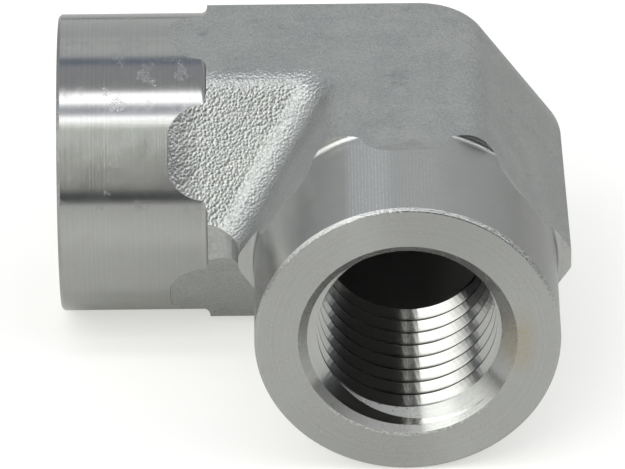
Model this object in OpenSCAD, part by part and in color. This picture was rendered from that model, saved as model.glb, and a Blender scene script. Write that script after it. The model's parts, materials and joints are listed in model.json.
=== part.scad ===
// Right-angle pipe elbow, female to female: one steel forging with both ports turned,
// countersunk, and bored through to the crossing for tapping. It lies on its side, with
// its parting line level.

/* [Ports] */
// Outside diameter of the turned port ends
port_outer_d = 19.4; // [18.9:0.1:20.4]
// Distance from the crossing of the bores to each end face
centre_to_end = 22.4; // [21.5:0.1:30]
// Length that is turned round behind each end face
turned_length = 9.7; // [8.5:0.1:10.5]
// Chamfer on the rim of each end face
rim_chamfer = 0.3; // [0.1:0.05:0.8]
// Nose radius that the turning tool leaves at the shoulder
tool_nose_r = 0.4; // [0.2:0.1:0.8]

/* [Tapped holes] */
// Tapping drill diameter of the tapered pipe thread, which is also that of the waterway
tap_drill_d = 11.1; // [10.5:0.1:11.6]
// Included angle of the drill's point
drill_point_angle = 118; // [90:1:140]
// Mouth diameter of the countersink
countersink_d = 13.9; // [13:0.1:15]
// Included angle of the countersink
countersink_angle = 90; // [60:5:120]

/* [Forged body] */
// Distance from the bottom flat to the top flat
across_flats = 18.6; // [18:0.1:18.8]
// Distance between opposite sloped faces
across_slopes = 18.4; // [18:0.1:18.8]
// Angle by which the sloped faces lean in from upright
face_lean = 34; // [30:1:36]
// Radius of the edges between the flats and the sloped faces
flat_edge_r = 2; // [1:0.1:4]
// Radius of the blunt edge along the parting line
parting_edge_r = 1.6; // [1:0.1:3]
// Plan radius of the outside bend at the parting line
outer_bend_r = 9.7; // [8:0.1:10.4]
// Plan radius of the inside corner between the legs
inner_corner_r = 1.9; // [1:0.1:2.5]

/* [Trimmed flash] */
// Distance from the bore's axis to the land outside the bend, at the shoulder of each leg
shoulder_land_reach = 10.65; // [10.5:0.05:10.7]
// The same distance where the outside bend begins, where the trimming cut deeper
bend_land_reach = 10.4; // [10.2:0.05:10.45]
// Distance from the bore's axis to the land inside the corner, on the left leg
left_land_reach = 10.2; // [10.15:0.05:10.4]
// The same distance on the front leg, which the trimming only grazed
front_land_reach = 10.74; // [10.7:0.01:10.76]
// Plan radius of the land in that corner
corner_land_r = 2; // [1:0.1:2.4]

/* [Forged collars] */
// Diameter of the round collars as forged, before turning
raw_collar_d = 20.2; // [20:0.1:21]
// Distance from each end face to where the faces of the body start to rise to the collar
collar_root_depth = 9.5; // [8:0.1:9.6]
// Concave radius of that rise
collar_root_r = 7; // [5:0.1:9]
// Distance from each end face to the step at the foot of the raw collar
collar_step_depth = 7.2; // [6.5:0.1:7.6]
// Angle at which that step climbs, from the bore's axis
collar_step_angle = 70; // [50:1:80]

/* [Hidden] */
$fn = 96;
// Each leg is drawn along +Z and turned into place: first the front leg, then the left one
LEG_TURNS = [0, -90];
// Steps in each rounded edge of the forging
ARC_STEPS = 8;
// How far a cutting tool runs past the surface that it cuts
clear = 1;

// Points of the forging are kept to a micron, so that its pieces meet without a step
function micron(v) = is_list(v) ? [for (x = v) micron(x)] : round(v * 1000) / 1000;
function polar(r, a) = r * [cos(a), sin(a)];
function steps(from, to) = [for (i = [0 : ARC_STEPS]) from + (to - from) * i / ARC_STEPS];

port_outer_r = port_outer_d / 2;
raw_collar_r = raw_collar_d / 2;
tap_r = tap_drill_d / 2;
countersink_depth = (countersink_d - tap_drill_d) / 2 / tan(countersink_angle / 2);
shoulder_z = centre_to_end - turned_length;
collar_root_z = centre_to_end - collar_root_depth;

// Faces of the forged section, counter-clockwise: direction, distance from the bore's axis,
// and the radius of the edge that comes next
flat_dist = across_flats / 2;
slope_dist = across_slopes / 2;
SECTION_FACES = [
    [-face_lean, slope_dist, parting_edge_r],
    [face_lean, slope_dist, flat_edge_r],
    [90, flat_dist, flat_edge_r],
    [180 - face_lean, slope_dist, parting_edge_r],
    [180 + face_lean, slope_dist, flat_edge_r],
    [270, flat_dist, flat_edge_r]
];

// Centre of a rounded edge: the point that lies its radius inside both faces
function edge_centre(a, b, r) =
    [(a[1] - r) * sin(b[0]) - (b[1] - r) * sin(a[0]),
     (b[1] - r) * cos(a[0]) - (a[1] - r) * cos(b[0])] / sin(b[0] - a[0]);

// Points along the rounded edge that follows face i of the section
function edge_points(i) =
    let (face = SECTION_FACES[i], next = SECTION_FACES[(i + 1) % 6])
    let (r = face[2], middle = edge_centre(face, next, r))
    let (turn = (next[0] - face[0] + 360) % 360)
    [for (a = steps(face[0], face[0] + turn)) micron(middle + polar(r, a))];

section = [for (i = [0 : 5]) each edge_points(i)];
// The half of it on the outside of the bend, from the bottom flat up to the top one
outer_half = [for (i = [5, 0, 1]) each edge_points(i)];

untrimmed_reach = max([for (p = outer_half) p[0]]);
bend_centre = micron(untrimmed_reach - outer_bend_r);

// The frame's origin is the centre of the footprint, on the surface that the ports rest on
footprint_shift = (centre_to_end - shoulder_land_reach) / 2;

// Stands what is drawn along +Z on a leg, pointing out of its port
module on_leg(turn) {
    rotate([90, 0, turn]) children();
}

// Bar of the forged section, from the bend to well inside the collar
module leg_bar() {
    translate([0, 0, -bend_centre])
        linear_extrude(height = bend_centre + collar_root_z + collar_root_depth / 2)
            polygon(section);
}

// What the die leaves open beside one face, where that face rises to the round collar
module collar_root(face_dist) {
    sweep = asin((collar_root_depth - collar_step_depth) / collar_root_r);
    arc = [for (a = steps(0, sweep))
        micron([face_dist + collar_root_r * (1 - cos(a)), collar_root_z + collar_root_r * sin(a)])];
    step_foot = arc[ARC_STEPS];
    step_top = max(step_foot[0], raw_collar_r);
    top_z = micron(step_foot[1] + (step_top - step_foot[0]) / tan(collar_step_angle));
    outside = step_top + clear;
    rotate([90, 0, 0])
        linear_extrude(height = raw_collar_d, center = true)
            polygon(concat(
                [[step_top, top_z], [outside, top_z]],
                [[outside, collar_root_z - clear], [face_dist, collar_root_z - clear]],
                arc));
}

// Round end of the forging, with the faces of the body running out into it
module raw_collar() {
    difference() {
        translate([0, 0, collar_root_z])
            cylinder(h = collar_root_depth, r = raw_collar_r);
        for (face = SECTION_FACES)
            rotate([0, 0, face[0]]) collar_root(face[1]);
    }
}

// Outside bend: the outer half of the section carried round a quarter turn
module outer_bend() {
    points = [for (p = outer_half) [p[0] - bend_centre, p[1]]];
    translate([bend_centre, bend_centre, 0])
        rotate_extrude(angle = 90)
            polygon(concat([[0, flat_dist], [0, -flat_dist]], points));
}

// Inside corner: a web between the legs, cut back to the slope of their sides. The cut has
// the same plan radius at every height and runs out into each leg.
module inner_corner() {
    web = untrimmed_reach + inner_corner_r;
    outside = web + clear;
    top = outer_half[len(outer_half) - 1];
    levels = concat([[top[0], -top[1] - clear]], outer_half, [[top[0], top[1] + clear]]);
    arc = [for (a = steps(0, 90)) micron(polar(inner_corner_r, a))];
    ring_size = ARC_STEPS + 4;
    last = len(levels) - 1;
    points = [for (p = levels)
        let (middle = -p[0] - inner_corner_r)
        each concat(
            [[-outside, -outside, p[1]], [clear - p[0], -outside, p[1]]],
            [for (q = arc) [middle + q[0], middle + q[1], p[1]]],
            [[-outside, clear - p[0], p[1]]])];
    sides = [for (k = [0 : last - 1], i = [0 : ring_size - 1])
        let (j = (i + 1) % ring_size, low = k * ring_size, high = low + ring_size)
        [low + i, high + i, high + j, low + j]];
    floor_face = [for (i = [0 : ring_size - 1]) i];
    roof_face = [for (i = [ring_size - 1 : -1 : 0]) last * ring_size + i];
    difference() {
        translate([-web, -web, -flat_dist])
            cube([web, web, across_flats]);
        polyhedron(points, concat([floor_face], sides, [roof_face]));
    }
}

// What the trimming tool takes off the parting line: all that lies beyond its upright lands
module flash_trim() {
    leg_end = centre_to_end + clear;
    corner = -[front_land_reach + corner_land_r, left_land_reach + corner_land_r];
    inside = [for (a = steps(90, 0)) micron(corner + polar(corner_land_r, a))];
    translate([0, 0, -flat_dist])
        linear_extrude(height = across_flats)
            difference() {
                square(2 * leg_end + clear, center = true);
                polygon(concat(
                    [[shoulder_land_reach, -leg_end], [shoulder_land_reach, -shoulder_z]],
                    [[bend_land_reach, bend_centre], [bend_centre, bend_land_reach]],
                    [[-shoulder_z, shoulder_land_reach], [-leg_end, shoulder_land_reach]],
                    [[-leg_end, -left_land_reach]],
                    inside,
                    [[-front_land_reach, -leg_end]]));
                translate([bend_centre, bend_centre])
                    circle(r = bend_land_reach - bend_centre);
            }
}

// The blank as it leaves the dies, with its flash trimmed off
module forging() {
    difference() {
        union() {
            for (turn = LEG_TURNS) {
                on_leg(turn) leg_bar();
                on_leg(turn) raw_collar();
            }
            outer_bend();
            inner_corner();
        }
        flash_trim();
    }
}

// What the lathe takes off one end: down to the port diameter as far as the shoulder,
// with the tool's nose radius left in the corner and a chamfer on the rim
module turning_cut() {
    swing = untrimmed_reach - port_outer_r + raw_collar_r;
    rotate_extrude() {
        difference() {
            translate([port_outer_r, shoulder_z])
                square([swing, turned_length + clear]);
            difference() {
                translate([port_outer_r, shoulder_z])
                    square(tool_nose_r);
                translate([port_outer_r + tool_nose_r, shoulder_z + tool_nose_r])
                    circle(r = tool_nose_r);
            }
        }
        polygon([
            [port_outer_r - rim_chamfer - clear, centre_to_end + clear],
            [port_outer_r + clear, centre_to_end - rim_chamfer - clear],
            [port_outer_r + clear, centre_to_end + clear]
        ]);
    }
}

// Countersink and tapping hole of one port. The drill's full width ends at the crossing of
// the bores, with its point beyond, so that the two holes open into each other.
module port_hole() {
    point_length = tap_r / tan(drill_point_angle / 2);
    translate([0, 0, centre_to_end - countersink_depth])
        cylinder(h = countersink_depth, r1 = tap_r, d2 = countersink_d);
    cylinder(h = centre_to_end, r = tap_r);
    translate([0, 0, -point_length])
        cylinder(h = point_length, r1 = 0, r2 = tap_r);
}

// The finished elbow, one piece of zinc-plated steel
module elbow_body() {
    color([0.66, 0.67, 0.66])
        translate([footprint_shift, footprint_shift, port_outer_r])
            difference() {
                forging();
                for (turn = LEG_TURNS) {
                    on_leg(turn) turning_cut();
                    on_leg(turn) port_hole();
                }
            }
}

elbow_body();
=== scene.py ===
import json
import math
import bpy
import bmesh
from mathutils import Matrix, Vector


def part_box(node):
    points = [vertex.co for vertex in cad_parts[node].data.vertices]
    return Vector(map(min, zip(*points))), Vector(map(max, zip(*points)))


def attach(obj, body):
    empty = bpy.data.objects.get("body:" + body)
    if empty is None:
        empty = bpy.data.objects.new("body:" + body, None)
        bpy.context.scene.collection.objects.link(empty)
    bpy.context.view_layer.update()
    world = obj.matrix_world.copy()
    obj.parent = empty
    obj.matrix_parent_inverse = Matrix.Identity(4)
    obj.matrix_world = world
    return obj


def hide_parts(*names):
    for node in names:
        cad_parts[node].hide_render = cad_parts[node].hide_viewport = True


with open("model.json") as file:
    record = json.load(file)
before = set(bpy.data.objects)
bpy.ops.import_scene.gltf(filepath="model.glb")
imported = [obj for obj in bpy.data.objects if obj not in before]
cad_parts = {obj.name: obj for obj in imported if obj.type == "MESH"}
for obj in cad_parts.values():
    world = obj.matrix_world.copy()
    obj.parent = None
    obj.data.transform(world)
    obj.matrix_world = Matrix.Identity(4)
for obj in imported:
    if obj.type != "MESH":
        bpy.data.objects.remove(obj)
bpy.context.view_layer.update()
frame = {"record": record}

# The forged blank
# One billet of steel is pressed hot between two dies that meet level with the bores. Its flash
# is trimmed to an upright land. It is blasted clean, and zinc plated once its ports are machined.
mm = 0.001
elbow_low, elbow_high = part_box("elbow_body")
ports = {mount["name"]: mount for mount in frame["record"]["mounts"]}
crossing = Vector((
    ports["front_port"]["pos_m"][0],
    ports["left_port"]["pos_m"][1],
    ports["front_port"]["pos_m"][2],
))
centre_to_end = crossing.y - elbow_low.y
across_flats = 18.6 * mm
across_slopes = 18.4 * mm
face_lean = math.radians(34)
flat_edge_r = 2 * mm
parting_edge_r = 1.6 * mm
outer_bend_r = 9.7 * mm
inner_corner_r = 1.9 * mm
raw_collar_r = 10.1 * mm
collar_root_depth = 9.5 * mm
collar_root_r = 7 * mm
collar_step_depth = 7.2 * mm
collar_step_angle = math.radians(70)
turned_length = 9.7 * mm
facing_allowance = 1 * mm
# Each collar starts this much under the faces of its leg and this far back along it, so that the
# two merge cleanly
seat = 0.004 * mm
collar_overlap = 0.5 * mm
shoulder_land_reach = elbow_high.x - crossing.x
bend_land_reach = 10.4 * mm
left_land_reach = 10.2 * mm
front_land_reach = 10.74 * mm
corner_land_r = 2 * mm
edge_steps = 10
bend_steps = 48
collar_sides = 360
root_steps = 12
step_rings = 8
step_ring_gap = 0.04 * mm


def new_material(name):
    """A material with an empty node tree apart from its shader, and that shader."""
    material = bpy.data.materials.new(name)
    material.use_nodes = True
    shader = material.node_tree.nodes["Principled BSDF"]
    return material, shader


def add_node(tree, kind, inputs=(), **settings):
    """A new node, with its settings, and its inputs given by name or number as values or sockets."""
    node = tree.nodes.new(kind)
    for name, value in settings.items():
        setattr(node, name, value)
    for key, value in dict(inputs).items():
        if isinstance(value, bpy.types.NodeSocket):
            tree.links.new(value, node.inputs[key])
        else:
            node.inputs[key].default_value = value
    return node


def maths(tree, operation, first, second=0.0, third=0.0):
    """The result of one sum on two or three numbers or sockets."""
    inputs = {0: first, 1: second, 2: third}
    return add_node(tree, "ShaderNodeMath", inputs, operation=operation).outputs[0]


def remap(tree, value, low, high, new_low=0.0, new_high=1.0):
    """The value carried from one range into another, clamped to its ends."""
    inputs = {"Value": value, "From Min": low, "From Max": high, "To Min": new_low, "To Max": new_high}
    return add_node(tree, "ShaderNodeMapRange", inputs).outputs["Result"]


def object_point(tree):
    """The point on the piece, in metres in the piece's own frame."""
    return add_node(tree, "ShaderNodeTexCoord").outputs["Object"]


def noise(tree, point, grain_size, detail=2.0, roughness=0.5):
    """Soft random values from 0 to 1, whose blotches are about grain_size across."""
    inputs = {"Vector": point, "Scale": 1 / grain_size, "Detail": detail, "Roughness": roughness}
    return add_node(tree, "ShaderNodeTexNoise", inputs).outputs["Fac"]


def bump(tree, height, depth, normal=None):
    """A normal bent by a height from 0 to 1 that stands for that depth in metres."""
    inputs = {"Height": height, "Distance": depth, "Strength": 1.0}
    if normal is not None:
        inputs["Normal"] = normal
    return add_node(tree, "ShaderNodeBump", inputs).outputs["Normal"]


def shades(tree, value, dark, light):
    """A colour between two, each given as three numbers or a socket, by a value from 0 to 1."""
    dark, light = [c if isinstance(c, bpy.types.NodeSocket) else (*c, 1) for c in (dark, light)]
    inputs = {"Factor": value, 6: dark, 7: light}
    return add_node(tree, "ShaderNodeMix", inputs, data_type="RGBA").outputs[2]


def specks(tree, point, spacing, size):
    """Small round spots, 1 at their centres and 0 beyond their size, strewn at about that spacing."""
    inputs = {"Vector": point, "Scale": 1 / spacing, "Randomness": 1.0}
    away = add_node(tree, "ShaderNodeTexVoronoi", inputs).outputs["Distance"]
    return remap(tree, away, 0.0, size / spacing, 1.0, 0.0)


def pebbles(tree, point, spacing):
    """Close-set rounded grains about that far apart, 1 at their tops and 0 in the gaps between."""
    inputs = {"Vector": point, "Scale": 1 / spacing, "Randomness": 1.0}
    away = add_node(tree, "ShaderNodeTexVoronoi", inputs).outputs["Distance"]
    return remap(tree, away, 0.1, 0.9, 1.0, 0.0)


def blasted_zinc():
    """Zinc over a blasted forging: close-set grains over a soft unevenness, with a few dark pits."""
    dark_zinc = (0.30, 0.31, 0.31)
    light_zinc = (0.44, 0.447, 0.438)
    smudge_grey = (0.200, 0.206, 0.211)
    pit_grey = (0.167, 0.167, 0.172)
    material, shader = new_material("blasted_zinc")
    tree = material.node_tree
    point = object_point(tree)
    grain = noise(tree, point, 0.11 * mm, detail=3.0, roughness=0.65)
    clouds = noise(tree, point, 2.5 * mm, detail=3.0, roughness=0.55)
    blotches = noise(tree, point, 2.2 * mm, detail=5.0, roughness=0.7)
    waves = noise(tree, point, 4.0 * mm, detail=1.0)
    pits = specks(tree, point, spacing=1.3 * mm, size=0.17 * mm)
    shader.inputs["Metallic"].default_value = 1.0
    worn = maths(tree, "ADD", maths(tree, "MULTIPLY", grain, 0.75), maths(tree, "MULTIPLY", clouds, 0.25))
    colour = shades(tree, remap(tree, worn, 0.38, 0.62), dark_zinc, light_zinc)
    colour = shades(tree, remap(tree, blotches, 0.60, 0.72, 0.0, 0.45), colour, smudge_grey)
    colour = shades(tree, remap(tree, pits, 0.2, 0.8, 0.0, 0.45), colour, pit_grey)
    tree.links.new(colour, shader.inputs["Base Color"])
    tree.links.new(remap(tree, clouds, 0.3, 0.7, 0.38, 0.44), shader.inputs["Roughness"])
    normal = bump(tree, waves, 0.03 * mm)
    normal = bump(tree, pebbles(tree, point, spacing=0.2 * mm), 0.045 * mm, normal)
    normal = bump(tree, grain, 0.016 * mm, normal)
    normal = bump(tree, pits, -0.03 * mm, normal)
    tree.links.new(normal, shader.inputs["Normal"])
    return material


def sheared_zinc():
    """Zinc over the land that the trimming punch sheared: upright scores, with torn specks among them."""
    dark_zinc = (0.311, 0.317, 0.317)
    light_zinc = (0.367, 0.372, 0.367)
    score_stretch = 0.08
    material, shader = new_material("sheared_zinc")
    tree = material.node_tree
    point = object_point(tree)
    inputs = {"Vector": point, "Scale": (1.0, 1.0, score_stretch)}
    upright = add_node(tree, "ShaderNodeMapping", inputs).outputs[0]
    scores = noise(tree, upright, 0.22 * mm, detail=3.0, roughness=0.6)
    torn = noise(tree, point, 0.25 * mm, detail=2.0, roughness=0.6)
    shader.inputs["Metallic"].default_value = 1.0
    shader.inputs["Roughness"].default_value = 0.32
    colour = shades(tree, remap(tree, torn, 0.35, 0.65), dark_zinc, light_zinc)
    tree.links.new(colour, shader.inputs["Base Color"])
    normal = bump(tree, scores, 0.05 * mm)
    normal = bump(tree, torn, 0.04 * mm, normal)
    tree.links.new(normal, shader.inputs["Normal"])
    return material


def edge_arc(face, following, radius):
    """Points along the rounded edge between two faces, each a direction and a distance out."""
    (a, reach_a), (b, reach_b) = face, following
    middle_x = ((reach_a - radius) * math.sin(b) - (reach_b - radius) * math.sin(a)) / math.sin(b - a)
    middle_z = ((reach_b - radius) * math.cos(a) - (reach_a - radius) * math.cos(b)) / math.sin(b - a)
    angles = [a + (b - a) * i / edge_steps for i in range(edge_steps + 1)]
    return [(middle_x + radius * math.cos(t), middle_z + radius * math.sin(t)) for t in angles]


def quarter(centre, radius, from_turn, to_turn, step_count):
    """Points along an arc in plan, between two turns given in quarters of a circle."""
    turns = [from_turn + (to_turn - from_turn) * i / step_count for i in range(step_count + 1)]
    angles = [math.pi / 2 * turn for turn in turns]
    return [(centre[0] + radius * math.cos(a), centre[1] + radius * math.sin(a)) for a in angles]


def plan_ring(half_width, height):
    """Outline of the blank at one height, seen from above, with both legs cut square at their ends."""
    corner = -half_width - inner_corner_r
    outline = [(half_width, -leg_end)]
    outline += quarter((bend_centre, bend_centre), half_width - bend_centre, 0, 1, bend_steps)
    outline += [(-leg_end, half_width), (-leg_end, -half_width)]
    outline += quarter((corner, corner), inner_corner_r, 1, 0, edge_steps)
    outline += [(-half_width, -leg_end)]
    return [(x, y, height) for x, y in outline]


def land_ring(height):
    """Outline at one height of what the trimming tool leaves, which is cut off upright all round."""
    uncut_end = centre_to_end + facing_allowance
    corner = (-front_land_reach - corner_land_r, -left_land_reach - corner_land_r)
    outline = [(shoulder_land_reach, -uncut_end), (shoulder_land_reach, -shoulder)]
    outline += quarter((bend_centre, bend_centre), bend_land_reach - bend_centre, 0, 1, bend_steps)
    outline += [(-shoulder, shoulder_land_reach), (-uncut_end, shoulder_land_reach)]
    outline += [(-uncut_end, -left_land_reach)]
    outline += quarter(corner, corner_land_r, 1, 0, edge_steps)
    outline += [(-front_land_reach, -uncut_end)]
    return [(x, y, height) for x, y in outline]


def stacked(rings):
    """Points and faces of the closed solid through a stack of rings, the lowest first."""
    count = len(rings[0])
    points = [point for ring in rings for point in ring]
    faces = [list(range(count))[::-1]]
    for level in range(len(rings) - 1):
        low = level * count
        for i in range(count):
            j = (i + 1) % count
            faces.append([low + i, low + j, low + count + j, low + count + i])
    faces.append([(len(rings) - 1) * count + i for i in range(count)])
    return points, faces


def solid(name, points, faces, material, place=Matrix.Identity(4)):
    """A mesh object of one material, with its points carried to their place."""
    mesh = bpy.data.meshes.new(name)
    mesh.from_pydata([place @ Vector(p) for p in points], [], faces)
    mesh.materials.append(material)
    shape = bmesh.new()
    shape.from_mesh(mesh)
    bmesh.ops.recalc_face_normals(shape, faces=shape.faces)
    shape.to_mesh(mesh)
    shape.free()
    made = bpy.data.objects.new(name, mesh)
    bpy.context.scene.collection.objects.link(made)
    return made


def combine(piece, tool, operation):
    """Joins a solid to the piece or cuts it out of it. The faces that it leaves keep its finish."""
    change = piece.modifiers.new(operation, "BOOLEAN")
    change.operation = operation
    change.solver = "MANIFOLD"
    change.material_mode = "TRANSFER"
    change.object = tool
    evaluated = piece.evaluated_get(bpy.context.evaluated_depsgraph_get())
    changed = bpy.data.meshes.new_from_object(evaluated)
    piece.modifiers.clear()
    old = piece.data
    piece.data = changed
    bpy.data.meshes.remove(old)
    bpy.data.objects.remove(tool)


def collar_ring(depth):
    """Outline of a raw collar at one distance from its end: round, less what its six sides cut off."""
    least_facing = 0.1
    past_root = max(0.0, collar_root_depth - max(depth, collar_step_depth))
    rise = collar_root_r - math.sqrt(collar_root_r ** 2 - past_root ** 2) - seat
    rise += max(0.0, collar_step_depth - depth) * math.tan(collar_step_angle)
    ring = []
    for i in range(collar_sides):
        turn = 2 * math.pi * i / collar_sides
        radius = raw_collar_r
        for direction, reach in SECTION_FACES:
            facing = math.cos(turn - direction)
            if facing > least_facing:
                radius = min(radius, (reach + rise) / facing)
        ring.append((radius * math.cos(turn), radius * math.sin(turn), centre_to_end - depth))
    return ring


SECTION_FACES = [
    (-face_lean, across_slopes / 2),
    (face_lean, across_slopes / 2),
    (math.pi / 2, across_flats / 2),
    (math.pi - face_lean, across_slopes / 2),
    (math.pi + face_lean, across_slopes / 2),
    (math.pi * 1.5, across_flats / 2),
]
outer_half = edge_arc((-math.pi / 2, across_flats / 2), SECTION_FACES[0], flat_edge_r)
outer_half += edge_arc(SECTION_FACES[0], SECTION_FACES[1], parting_edge_r)
outer_half += edge_arc(SECTION_FACES[1], SECTION_FACES[2], flat_edge_r)

forged_finish = blasted_zinc()
leg_end = centre_to_end - collar_root_depth / 2
bend_centre = max(x for x, z in outer_half) - outer_bend_r
shoulder = centre_to_end - turned_length
elbow = solid("elbow", *stacked([plan_ring(x, z) for x, z in outer_half]), forged_finish)
# Each leg is drawn along +Z and turned into place
LEGS = {
    "front": Matrix.Rotation(math.pi / 2, 4, "X"),
    "left": Matrix.Rotation(-math.pi / 2, 4, "Z") @ Matrix.Rotation(math.pi / 2, 4, "X"),
}
root_length = collar_root_depth - collar_step_depth
collar_depths = [collar_root_depth + collar_overlap]
collar_depths += [collar_root_depth - root_length * i / root_steps for i in range(root_steps + 1)]
collar_depths += [collar_step_depth - step_ring_gap * i for i in range(1, step_rings + 1)]
collar_depths += [-facing_allowance]
collar_rings = [collar_ring(depth) for depth in collar_depths]
for place in LEGS.values():
    combine(elbow, solid("raw_collar", *stacked(collar_rings), forged_finish, place), "UNION")
land_rings = [land_ring(height) for height in (-across_flats, across_flats)]
combine(elbow, solid("trimmed", *stacked(land_rings), sheared_zinc()), "INTERSECT")

# The turned ends
# Each end is faced and turned in a lathe down to the port diameter, as far as a shoulder with
# the tool's nose radius in its corner. A narrow chamfer breaks the rim.
port_outer_r = (elbow_high.z - elbow_low.z) / 2
rim_chamfer = 0.21 * mm
# The chamfer's corners after its inner one: how far in from the port's side, and back from its face
rim_cones = [(0.157 * mm, 0.025 * mm), (0, 0.206 * mm)]
tool_nose_r = 0.4 * mm
countersink_r = 6.95 * mm
turning_sides = 360
nose_steps = 8
swing = 1.2 * shoulder_land_reach
fine_groove = 0.002 * mm
groove_width = 0.12 * mm
stain_size = 1.6 * mm
fleck_size = 0.22 * mm


def axial_point(tree, leg):
    """Distance from the crossing along a leg, distance from its axis, and the turn round that axis."""
    parts = add_node(tree, "ShaderNodeSeparateXYZ", {0: object_point(tree)}).outputs
    x, y, z = [maths(tree, "SUBTRACT", parts[i], crossing[i]) for i in range(3)]
    along, across = (y, x) if leg == "front" else (x, y)
    squares = maths(tree, "ADD", maths(tree, "POWER", across, 2.0), maths(tree, "POWER", z, 2.0))
    turn = maths(tree, "ARCTAN2", across, z)
    return maths(tree, "ABSOLUTE", along), maths(tree, "SQRT", squares), turn


def line_noise(tree, distance, width, detail=2.0):
    """Random values from 0 to 1 that change only along one distance."""
    inputs = {"W": maths(tree, "DIVIDE", distance, width), "Scale": 1.0, "Detail": detail}
    return add_node(tree, "ShaderNodeTexNoise", inputs, noise_dimensions="1D").outputs["Fac"]


def scuffs(tree, spot, colour, normal):
    """Patches of fine scratches from handling."""
    scratches = remap(tree, noise(tree, spot["point"], 0.08 * mm, detail=1.0), 0.55, 0.7)
    patches = remap(tree, noise(tree, spot["point"], 1.4 * mm), 0.58, 0.66)
    return colour, bump(tree, maths(tree, "MULTIPLY", scratches, patches), 0.008 * mm, normal)


def jaw_marks(tree, spot, colour, normal):
    """Rows of little bright dents that a gripping jaw left along the top of a collar, in a paler band."""
    row_gap = 0.22 * mm
    dent_size = 0.17 * mm
    pale_zinc = (0.400, 0.411, 0.417)
    bright_zinc = (0.511, 0.517, 0.522)
    turn = spot["turn"]
    rows = maths(tree, "SINE", maths(tree, "MULTIPLY", turn, 2 * math.pi * port_outer_r / row_gap))
    inputs = {0: spot["along"], 1: maths(tree, "MULTIPLY", turn, port_outer_r)}
    unrolled = add_node(tree, "ShaderNodeCombineXYZ", inputs).outputs[0]
    dents = remap(tree, noise(tree, unrolled, dent_size, detail=1.0), 0.44, 0.58)
    faint_start = remap(tree, turn, -0.16, -0.08, 1.0, 0.25)
    band = maths(tree, "MULTIPLY", remap(tree, turn, -0.42, -0.36), faint_start)
    band = maths(tree, "MULTIPLY", band, remap(tree, turn, 0.16, 0.30, 1.0, 0.0))
    marks = maths(tree, "MULTIPLY", maths(tree, "MULTIPLY", remap(tree, rows, 0.3, 0.8), dents), band)
    colour = shades(tree, band, colour, pale_zinc)
    return shades(tree, marks, colour, bright_zinc), bump(tree, marks, -0.01 * mm, normal)


def oily_stain(tree, spot, colour, normal):
    """A brownish smear of dried oil at one side of a port's mouth."""
    stain_turn = 1.6
    stain_r = 7 * mm
    oil_brown = (0.322, 0.283, 0.200)
    turned_off = maths(tree, "ABSOLUTE", maths(tree, "SUBTRACT", spot["turn"], stain_turn))
    further_out = maths(tree, "ABSOLUTE", maths(tree, "SUBTRACT", spot["out"], stain_r))
    beside = remap(tree, turned_off, 0.12, 0.38, 1.0, 0.0)
    near = remap(tree, further_out, 0.4 * mm, 1.5 * mm, 1.0, 0.0)
    broken = remap(tree, spot["flecks"], 0.35, 0.65, 0.2, 0.9)
    smear = maths(tree, "MULTIPLY", maths(tree, "MULTIPLY", beside, near), broken)
    return shades(tree, smear, colour, oil_brown), normal


def mouth_burr_and_glints(tree, spot, colour, normal):
    """Specks of burr that the countersink raised along the lower half of its edge, painted bright as
    glints.
    """
    burr_glint_zinc = (0.528, 0.528, 0.517)
    at_mouth = remap(tree, spot["out"], countersink_r + 0.12 * mm, countersink_r + 0.25 * mm, 1.0, 0.0)
    low_down = remap(tree, maths(tree, "ABSOLUTE", spot["turn"]), 2.2, 2.7)
    broken = remap(tree, spot["flecks"], 0.45, 0.6)
    burr = maths(tree, "MULTIPLY", broken, maths(tree, "MULTIPLY", at_mouth, low_down))
    # Painted glints: the burr specks are coloured brighter than the zinc around them
    return shades(tree, burr, colour, burr_glint_zinc), bump(tree, burr, 0.05 * mm, normal)


def rim_dents(tree, spot, colour, normal):
    """Small dents along a thin rim."""
    return colour, bump(tree, spot["flecks"], 0.05 * mm, normal)


def cut_zinc(name, leg, across_cut, roughness, groove_depth, shade, spread=0.9, details=()):
    """Zinc over a cut surface: the tool's fine grooves spread its shine across them, with faint stains.

    All grooves run round the bore. They lie side by side along it, or outwards where the cut is across.
    """
    cool_tint = 0.985
    stain_shade = 0.92
    material, shader = new_material(name + "_" + leg)
    tree = material.node_tree
    point = object_point(tree)
    along, out, turn = axial_point(tree, leg)
    if across_cut:
        grain = add_node(tree, "ShaderNodeVectorMath", {0: point, 1: crossing}, operation="SUBTRACT")
    else:
        axis = (0.0, 1.0, 0.0) if leg == "front" else (1.0, 0.0, 0.0)
        grain = add_node(tree, "ShaderNodeCombineXYZ", dict(enumerate(axis)))
    tree.links.new(grain.outputs[0], shader.inputs["Tangent"])
    shader.inputs["Anisotropic"].default_value = spread
    shader.inputs["Metallic"].default_value = 1.0
    grooves = line_noise(tree, out if across_cut else along, groove_width)
    stains = noise(tree, point, stain_size, detail=3.0, roughness=0.6)
    flecks = noise(tree, point, fleck_size, detail=2.0, roughness=0.6)
    tree.links.new(remap(tree, stains, 0.3, 0.75, roughness, roughness * 1.2), shader.inputs["Roughness"])
    clean = (shade * cool_tint, shade, shade * cool_tint)
    stained = tuple(stain_shade * c for c in (shade, shade, shade * cool_tint))
    mottle = maths(tree, "ADD", maths(tree, "MULTIPLY", stains, 0.4), maths(tree, "MULTIPLY", flecks, 0.3))
    mottle = maths(tree, "MULTIPLY_ADD", maths(tree, "SUBTRACT", grooves, 0.2), 0.5, mottle)
    colour = shades(tree, remap(tree, mottle, 0.38, 0.62), stained, clean)
    normal = bump(tree, grooves, groove_depth)
    spot = {"point": point, "along": along, "out": out, "turn": turn, "flecks": flecks}
    for add_detail in details:
        colour, normal = add_detail(tree, spot, colour, normal)
    tree.links.new(colour, shader.inputs["Base Color"])
    tree.links.new(normal, shader.inputs["Normal"])
    return material


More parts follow.
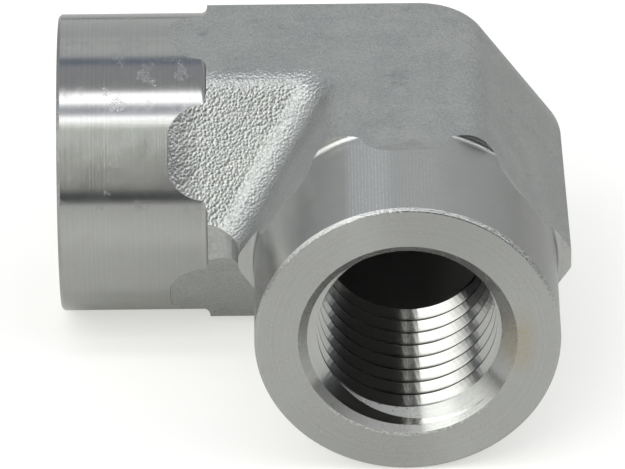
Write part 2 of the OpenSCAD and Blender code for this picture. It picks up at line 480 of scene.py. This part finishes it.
def placed(name, shape, finishes, place):
    """A mesh object from a built-up shape, with its finishes, turned into its place."""
    bmesh.ops.recalc_face_normals(shape, faces=shape.faces)
    bmesh.ops.transform(shape, matrix=place, verts=shape.verts)
    mesh = bpy.data.meshes.new(name)
    shape.to_mesh(mesh)
    shape.free()
    for finish in finishes:
        mesh.materials.append(finish)
    made = bpy.data.objects.new(name, mesh)
    bpy.context.scene.collection.objects.link(made)
    return made


def revolved(profile, finishes, sides, place):
    """A solid turned about a leg's axis. Each stretch of the profile has its own finish."""
    shape = bmesh.new()
    rings = []
    for radius, along in profile:
        if radius == 0:
            rings.append([shape.verts.new((0, 0, along))] * sides)
            continue
        turns = [2 * math.pi * i / sides for i in range(sides)]
        rings.append([shape.verts.new((radius * math.cos(t), radius * math.sin(t), along)) for t in turns])
    in_order = sorted(set(finishes), key=lambda finish: finish.name)
    for i, finish in enumerate(finishes):
        low, high = rings[i], rings[(i + 1) % len(rings)]
        for a in range(sides):
            b = (a + 1) % sides
            corners = list(dict.fromkeys([low[a], low[b], high[b], high[a]]))
            if len(corners) > 2:
                shape.faces.new(corners).material_index = in_order.index(finish)
    return placed("tool", shape, in_order, place)


past_end = centre_to_end + 2 * facing_allowance
turning_profile = [(0, centre_to_end), (port_outer_r - rim_chamfer, centre_to_end)]
turning_profile += [(port_outer_r - inset, centre_to_end - fall) for inset, fall in rim_cones]
for step in range(nose_steps + 1):
    a = math.pi / 2 * step / nose_steps
    turning_profile.append((
        port_outer_r + tool_nose_r * (1 - math.cos(a)),
        shoulder + tool_nose_r * (1 - math.sin(a)),
    ))
turning_profile += [(swing, shoulder), (swing, past_end), (0, past_end)]

turned_marks = {"front": [scuffs, jaw_marks], "left": [scuffs]}
faced_marks = {"front": [oily_stain, mouth_burr_and_glints], "left": [mouth_burr_and_glints]}
for leg, place in LEGS.items():
    turned_finish = cut_zinc("turned_zinc", leg, False, 0.22, fine_groove, 0.358, details=turned_marks[leg])
    faced_finish = cut_zinc("faced_zinc", leg, True, 0.26, fine_groove, 0.35, details=faced_marks[leg])
    rim_finish = cut_zinc("chamfered_zinc", leg, False, 0.2, fine_groove, 0.35, details=[rim_dents])
    shoulder_finish = cut_zinc("shoulder_zinc", leg, True, 0.26, fine_groove, 0.41)
    finishes = [faced_finish, rim_finish, rim_finish] + [turned_finish] * (nose_steps + 1)
    finishes += [shoulder_finish] + [turned_finish] * 2
    combine(elbow, revolved(turning_profile, finishes, turning_sides, place), "DIFFERENCE")

# The tapped ports
# Each port is countersunk, bored to a slight taper and tapped with a taper pipe thread, eighteen
# turns to the inch. Past the thread the bore runs on to the crossing, where the two meet.
drill_point = math.radians(118)
tap_depth = 12.5 * mm
mouth_crest_r = 5.75 * mm
countersink_depth = countersink_r - mouth_crest_r
thread_pitch = 25.4 / 18 * mm
thread_height = 1.1 * mm
root_flat = 0.02 * mm
# The thread is cut to this share of its height at the mouth, and to all of it past this zone
mouth_share = 0.82
mouth_zone = (0.5 * mm, 1.3 * mm)
bore_taper = 1 / 32
thread_flank = math.radians(30)
flank_overlap = 0.1 * mm
ridge_root = 5 * flank_overlap
lead_turns = 0.25
first_turn = 0.21
thread_sides = 96


def crest_r(depth):
    """Radius of the tapered bore, which is that of the thread's crests, at a depth from the end face."""
    return mouth_crest_r - bore_taper * (depth - countersink_depth)


def thread_ridge(finish, place):
    """The helical ridge that a tap cuts away. It starts at the deep end and runs out past the mouth."""
    turns = (tap_depth + thread_pitch) / thread_pitch
    steps = round(turns * thread_sides)
    half_root = root_flat / 2
    shape = bmesh.new()
    rings = []
    for i in range(steps + 1):
        turned = i / thread_sides
        depth = tap_depth - turned * thread_pitch
        lead = min(1.0, (i + 1) / thread_sides / lead_turns)
        inner = crest_r(depth) - flank_overlap
        in_full = min(1.0, max(0.0, (depth - mouth_zone[0]) / (mouth_zone[1] - mouth_zone[0])))
        form = thread_height * (mouth_share + (1 - mouth_share) * in_full)
        height = (form + flank_overlap) * lead
        half_mouth = half_root + height * math.tan(thread_flank)
        tip = inner + height
        base = inner - ridge_root
        section = [(tip, -half_root), (tip, half_root), (inner, half_mouth)]
        section += [(base, half_mouth), (base, -half_mouth), (inner, -half_mouth)]
        angle = 2 * math.pi * (turned + first_turn)
        middle = centre_to_end - depth
        rings.append([
            shape.verts.new((r * math.cos(angle), r * math.sin(angle), middle + z)) for r, z in section
        ])
    for low, high in zip(rings, rings[1:]):
        for a in range(len(low)):
            b = (a + 1) % len(low)
            shape.faces.new([low[a], low[b], high[b], high[a]])
    shape.faces.new(rings[0])
    shape.faces.new(rings[-1])
    return placed("thread", shape, [finish], place)


tap_end_r = crest_r(tap_depth)
port_profile = [
    (0, -tap_end_r / math.tan(drill_point / 2)),
    (tap_end_r, 0),
    (tap_end_r, centre_to_end - tap_depth),
    (mouth_crest_r, centre_to_end - countersink_depth),
    (countersink_r, centre_to_end),
    (countersink_r + facing_allowance, centre_to_end + facing_allowance),
    (0, centre_to_end + facing_allowance),
]
sink_marks = {"front": [oily_stain], "left": []}
for leg, place in LEGS.items():
    sink_finish = cut_zinc("countersunk_zinc", leg, False, 0.25, 0.003 * mm, 0.36, 0.95, sink_marks[leg])
    thread_finish = cut_zinc("tapped_zinc", leg, False, 0.14, fine_groove, 0.389, 0.6)
    drilled_finish = cut_zinc("drilled_zinc", leg, False, 0.4, 0.006 * mm, 0.31, 0.6)
    finishes = [drilled_finish] * 2 + [thread_finish] + [sink_finish] * 2 + [drilled_finish] * 2
    combine(elbow, revolved(port_profile, finishes, turning_sides, place), "DIFFERENCE")
    combine(elbow, thread_ridge(thread_finish, place), "DIFFERENCE")

# The finished elbow
# The machined piece is set in its place as one solid. Its edges are crisp where two finishes
# meet or the surface turns sharply, and it shades smoothly elsewhere.
crease = math.radians(20)


def crisp_edges(piece):
    """Marks the creases of a mesh as sharp and smooths the shading of the rest."""
    shape = bmesh.new()
    shape.from_mesh(piece.data)
    for face in shape.faces:
        face.smooth = True
    for edge in shape.edges:
        if len(edge.link_faces) != 2:
            continue
        finishes = {face.material_index for face in edge.link_faces}
        edge.smooth = len(finishes) == 1 and edge.calc_face_angle(0.0) < crease
    shape.to_mesh(piece.data)
    shape.free()


elbow.data.transform(Matrix.Translation(crossing))
crisp_edges(elbow)
shading = elbow.modifiers.new("shading", "WEIGHTED_NORMAL")
shading.keep_sharp = True
shading.weight = 50
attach(elbow, "root")
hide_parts("elbow_body")

# The table
# A plain pale surface that the elbow lies on. It shows white to the camera, with a soft shadow.
table_half = 430 * mm


def table_surface():
    """A matt pale surface, which the camera sees lighter, as a bright sweep. In reflections it has a
    painted glow, most in front, and painted shade beside and behind the elbow.
    """
    near_paper = (0.8, 0.8, 0.77)
    far_paper_painted_shade = (0.5, 0.5, 0.485)
    seen_paper = (0.444, 0.444, 0.439)
    glow_colour = (1, 1, 0.97, 1)
    front_glow = 0.144
    seen_glow = 0.55
    material, shader = new_material("pale_table")
    tree = material.node_tree
    parts = add_node(tree, "ShaderNodeSeparateXYZ", {0: object_point(tree)}).outputs
    aside = maths(tree, "ABSOLUTE", parts["X"])
    back = parts["Y"]
    camera_ray = add_node(tree, "ShaderNodeLightPath").outputs["Is Camera Ray"]
    # Painted shade: as seen in reflections, the table's colour darkens beside and behind the elbow
    past_front = remap(tree, back, -12 * mm, 4 * mm)
    beside = maths(tree, "MULTIPLY", remap(tree, aside, 13 * mm, 30 * mm), past_front)
    away = maths(tree, "MAXIMUM", beside, remap(tree, back, 20 * mm, 60 * mm))
    reflected = shades(tree, away, near_paper, far_paper_painted_shade)
    tree.links.new(shades(tree, camera_ray, reflected, seen_paper), shader.inputs["Base Color"])
    shader.inputs["Roughness"].default_value = 0.9
    # A painted pool of light: to all but camera rays, the table glows most just in front of the elbow and
    # fades behind it
    painted_light_pool = remap(tree, back, -20 * mm, 30 * mm, front_glow, 0.0)
    painted_light_pool = maths(tree, "MULTIPLY", painted_light_pool, remap(tree, back, -60 * mm, -25 * mm, 0.1, 1.0))
    strength = add_node(tree, "ShaderNodeMix", {"Factor": camera_ray, 2: painted_light_pool, 3: seen_glow}).outputs[0]
    glow = add_node(tree, "ShaderNodeEmission", {"Color": glow_colour, "Strength": strength})
    lifted = add_node(tree, "ShaderNodeAddShader", {0: shader.outputs[0], 1: glow.outputs[0]})
    tree.links.new(lifted.outputs[0], tree.nodes["Material Output"].inputs["Surface"])
    return material


table_corners = [(x * table_half, y * table_half, 0) for x, y in ((-1, -1), (1, -1), (1, 1), (-1, 1))]
table = solid("table", table_corners, [[0, 1, 2, 3]], table_surface())

# The light
# A pale studio dome, with two long strip lights above and towards the camera. In front, it is
# bright to the camera's left and dark to its right and at the horizon.
front_floor = math.radians(7.5)
front_height = math.radians(55.5)
front_width = math.radians(72)
blend = math.radians(1.5)
back_start = math.radians(140)
# In front, the bright left and the dark right meet at a seam, with a thin bright gap to its right.
# Each x is how far a direction leans to the camera's right, from -1 to 1. Further left than far_x,
# the bright left is dimmed to far_share.
left_gain = 5.9
right_gain = 0.06
seam_x = -0.18
seam_blend = 0.02
far_x = -0.58
far_blend = 0.06
far_share = 0.55
gap_x = -0.057
gap_edges = (0.006, 0.012)
gap_gain = 3.5
# At the back, the light falls off to both sides between these two
back_side_x = (0.2, 0.6)
back_left_loss = 0.4
back_right_loss = 0.18
# Each stop is the angle from the camera's horizon up and over to the far one, and its colour
DOME = [
    (0.0, (0.063, 0.072, 0.081)),
    (6.5, (0.063, 0.072, 0.081)),
    (8.0, (0.396, 0.396, 0.378)),
    (17.0, (0.486, 0.486, 0.468)),
    (29.0, (0.576, 0.576, 0.54)),
    (40.0, (0.702, 0.72, 0.675)),
    (54.0, (0.828, 0.846, 0.81)),
    (57.0, (1.12, 1.17, 1.06)),
    (61.0, (1.98, 2.02, 1.91)),
    (63.5, (3.96, 3.96, 3.96)),
    (66.3, (3.96, 3.96, 3.96)),
    (67.3, (0.666, 0.684, 0.792)),
    (76.4, (0.666, 0.684, 0.792)),
    (77.4, (4.14, 4.14, 4.14)),
    (85.4, (4.14, 4.14, 4.14)),
    (87.0, (0.558, 0.558, 0.576)),
    (98.0, (0.558, 0.558, 0.576)),
    (112.0, (0.612, 0.612, 0.648)),
    (113.2, (0.234, 0.288, 0.396)),
    (119.0, (0.27, 0.324, 0.432)),
    (121.0, (0.9, 0.918, 0.918)),
    (133.0, (0.972, 0.99, 0.972)),
    (139.0, (0.828, 0.846, 0.846)),
    (142.0, (1.01, 1.03, 1.03)),
    (145.0, (0.81, 0.828, 0.828)),
    (180.0, (0.774, 0.792, 0.783)),
]


def studio_world():
    """The light from each direction of the room. The camera itself sees plain white."""
    world = bpy.data.worlds.new("studio")
    world.use_nodes = True
    tree = world.node_tree
    direction = add_node(tree, "ShaderNodeTexCoord").outputs["Generated"]
    x, y, z = add_node(tree, "ShaderNodeSeparateXYZ", {0: direction}).outputs
    towards_camera = maths(tree, "MULTIPLY", y, -1.0)
    over = maths(tree, "ARCTAN2", z, towards_camera)
    bearing = maths(tree, "ARCTAN2", x, towards_camera)
    ramp = add_node(tree, "ShaderNodeValToRGB", {"Fac": maths(tree, "DIVIDE", over, math.pi)})
    stops = ramp.color_ramp.elements
    while len(stops) < len(DOME):
        stops.new(0.5)
    for stop, (angle, colour) in zip(stops, DOME):
        stop.position = angle / 180
        stop.color = (*colour, 1)
    side_gain = remap(tree, x, seam_x - seam_blend, seam_x + seam_blend, left_gain, right_gain)
    far_off = remap(tree, x, far_x - far_blend, far_x + far_blend, far_share, 1.0)
    side_gain = maths(tree, "MULTIPLY", side_gain, far_off)
    from_gap = maths(tree, "ABSOLUTE", maths(tree, "SUBTRACT", x, gap_x))
    gap = remap(tree, from_gap, *gap_edges, 1.0, 0.0)
    side_gain = maths(tree, "MULTIPLY_ADD", gap, gap_gain, side_gain)
    turned_off = maths(tree, "ABSOLUTE", bearing)
    width = remap(tree, turned_off, front_width, front_width + blend, 1.0, 0.0)
    below_top = remap(tree, over, front_height - blend, front_height + blend, 1.0, 0.0)
    above_floor = remap(tree, over, front_floor - blend, front_floor + blend)
    in_front = maths(tree, "MULTIPLY", width, maths(tree, "MULTIPLY", below_top, above_floor))
    gain = maths(tree, "MULTIPLY_ADD", maths(tree, "SUBTRACT", side_gain, 1.0), in_front, 1.0)
    near_x, far_side_x = back_side_x
    left_loss = remap(tree, x, -far_side_x, -near_x, back_left_loss, 0.0)
    right_loss = remap(tree, x, near_x, far_side_x, 0.0, back_right_loss)
    at_back = remap(tree, over, back_start, back_start + 3 * blend)
    back_loss = maths(tree, "MULTIPLY", maths(tree, "ADD", left_loss, right_loss), at_back)
    inputs = {0: ramp.outputs["Color"], "Scale": maths(tree, "SUBTRACT", gain, back_loss)}
    shaded = add_node(tree, "ShaderNodeVectorMath", inputs, operation="SCALE")
    camera_ray = add_node(tree, "ShaderNodeLightPath").outputs["Is Camera Ray"]
    seen = shades(tree, camera_ray, shaded.outputs[0], (1.0, 1.0, 1.0))
    tree.links.new(seen, tree.nodes["Background"].inputs["Color"])
    bpy.context.scene.world = world


studio_world()

# The camera
# A long lens, a little above the elbow and square on to its front port.
camera_height = math.radians(31.38)
camera_roll = math.radians(-0.6)
camera_distance = 527.3 * mm
camera_right = -5.897 * mm
camera_up = -4.965 * mm
sensor_width = 36.0
focal_length = 463.35

backward = Vector((0, -math.cos(camera_height), math.sin(camera_height)))
level_right = Vector((1, 0, 0))
level_up = backward.cross(level_right)
right = math.cos(camera_roll) * level_right + math.sin(camera_roll) * level_up
up = -math.sin(camera_roll) * level_right + math.cos(camera_roll) * level_up
camera = bpy.data.objects.new("camera", bpy.data.cameras.new("camera"))
bpy.context.scene.collection.objects.link(camera)
camera.data.sensor_width = sensor_width
camera.data.lens = focal_length
camera.data.clip_start = 10 * mm
camera.data.clip_end = 10
pose = Matrix((right, up, backward)).transposed().to_4x4()
pose.translation = crossing + backward * camera_distance + right * camera_right + up * camera_up
camera.matrix_world = pose
bpy.context.scene.camera = camera
bpy.context.scene.view_settings.view_transform = "Standard"
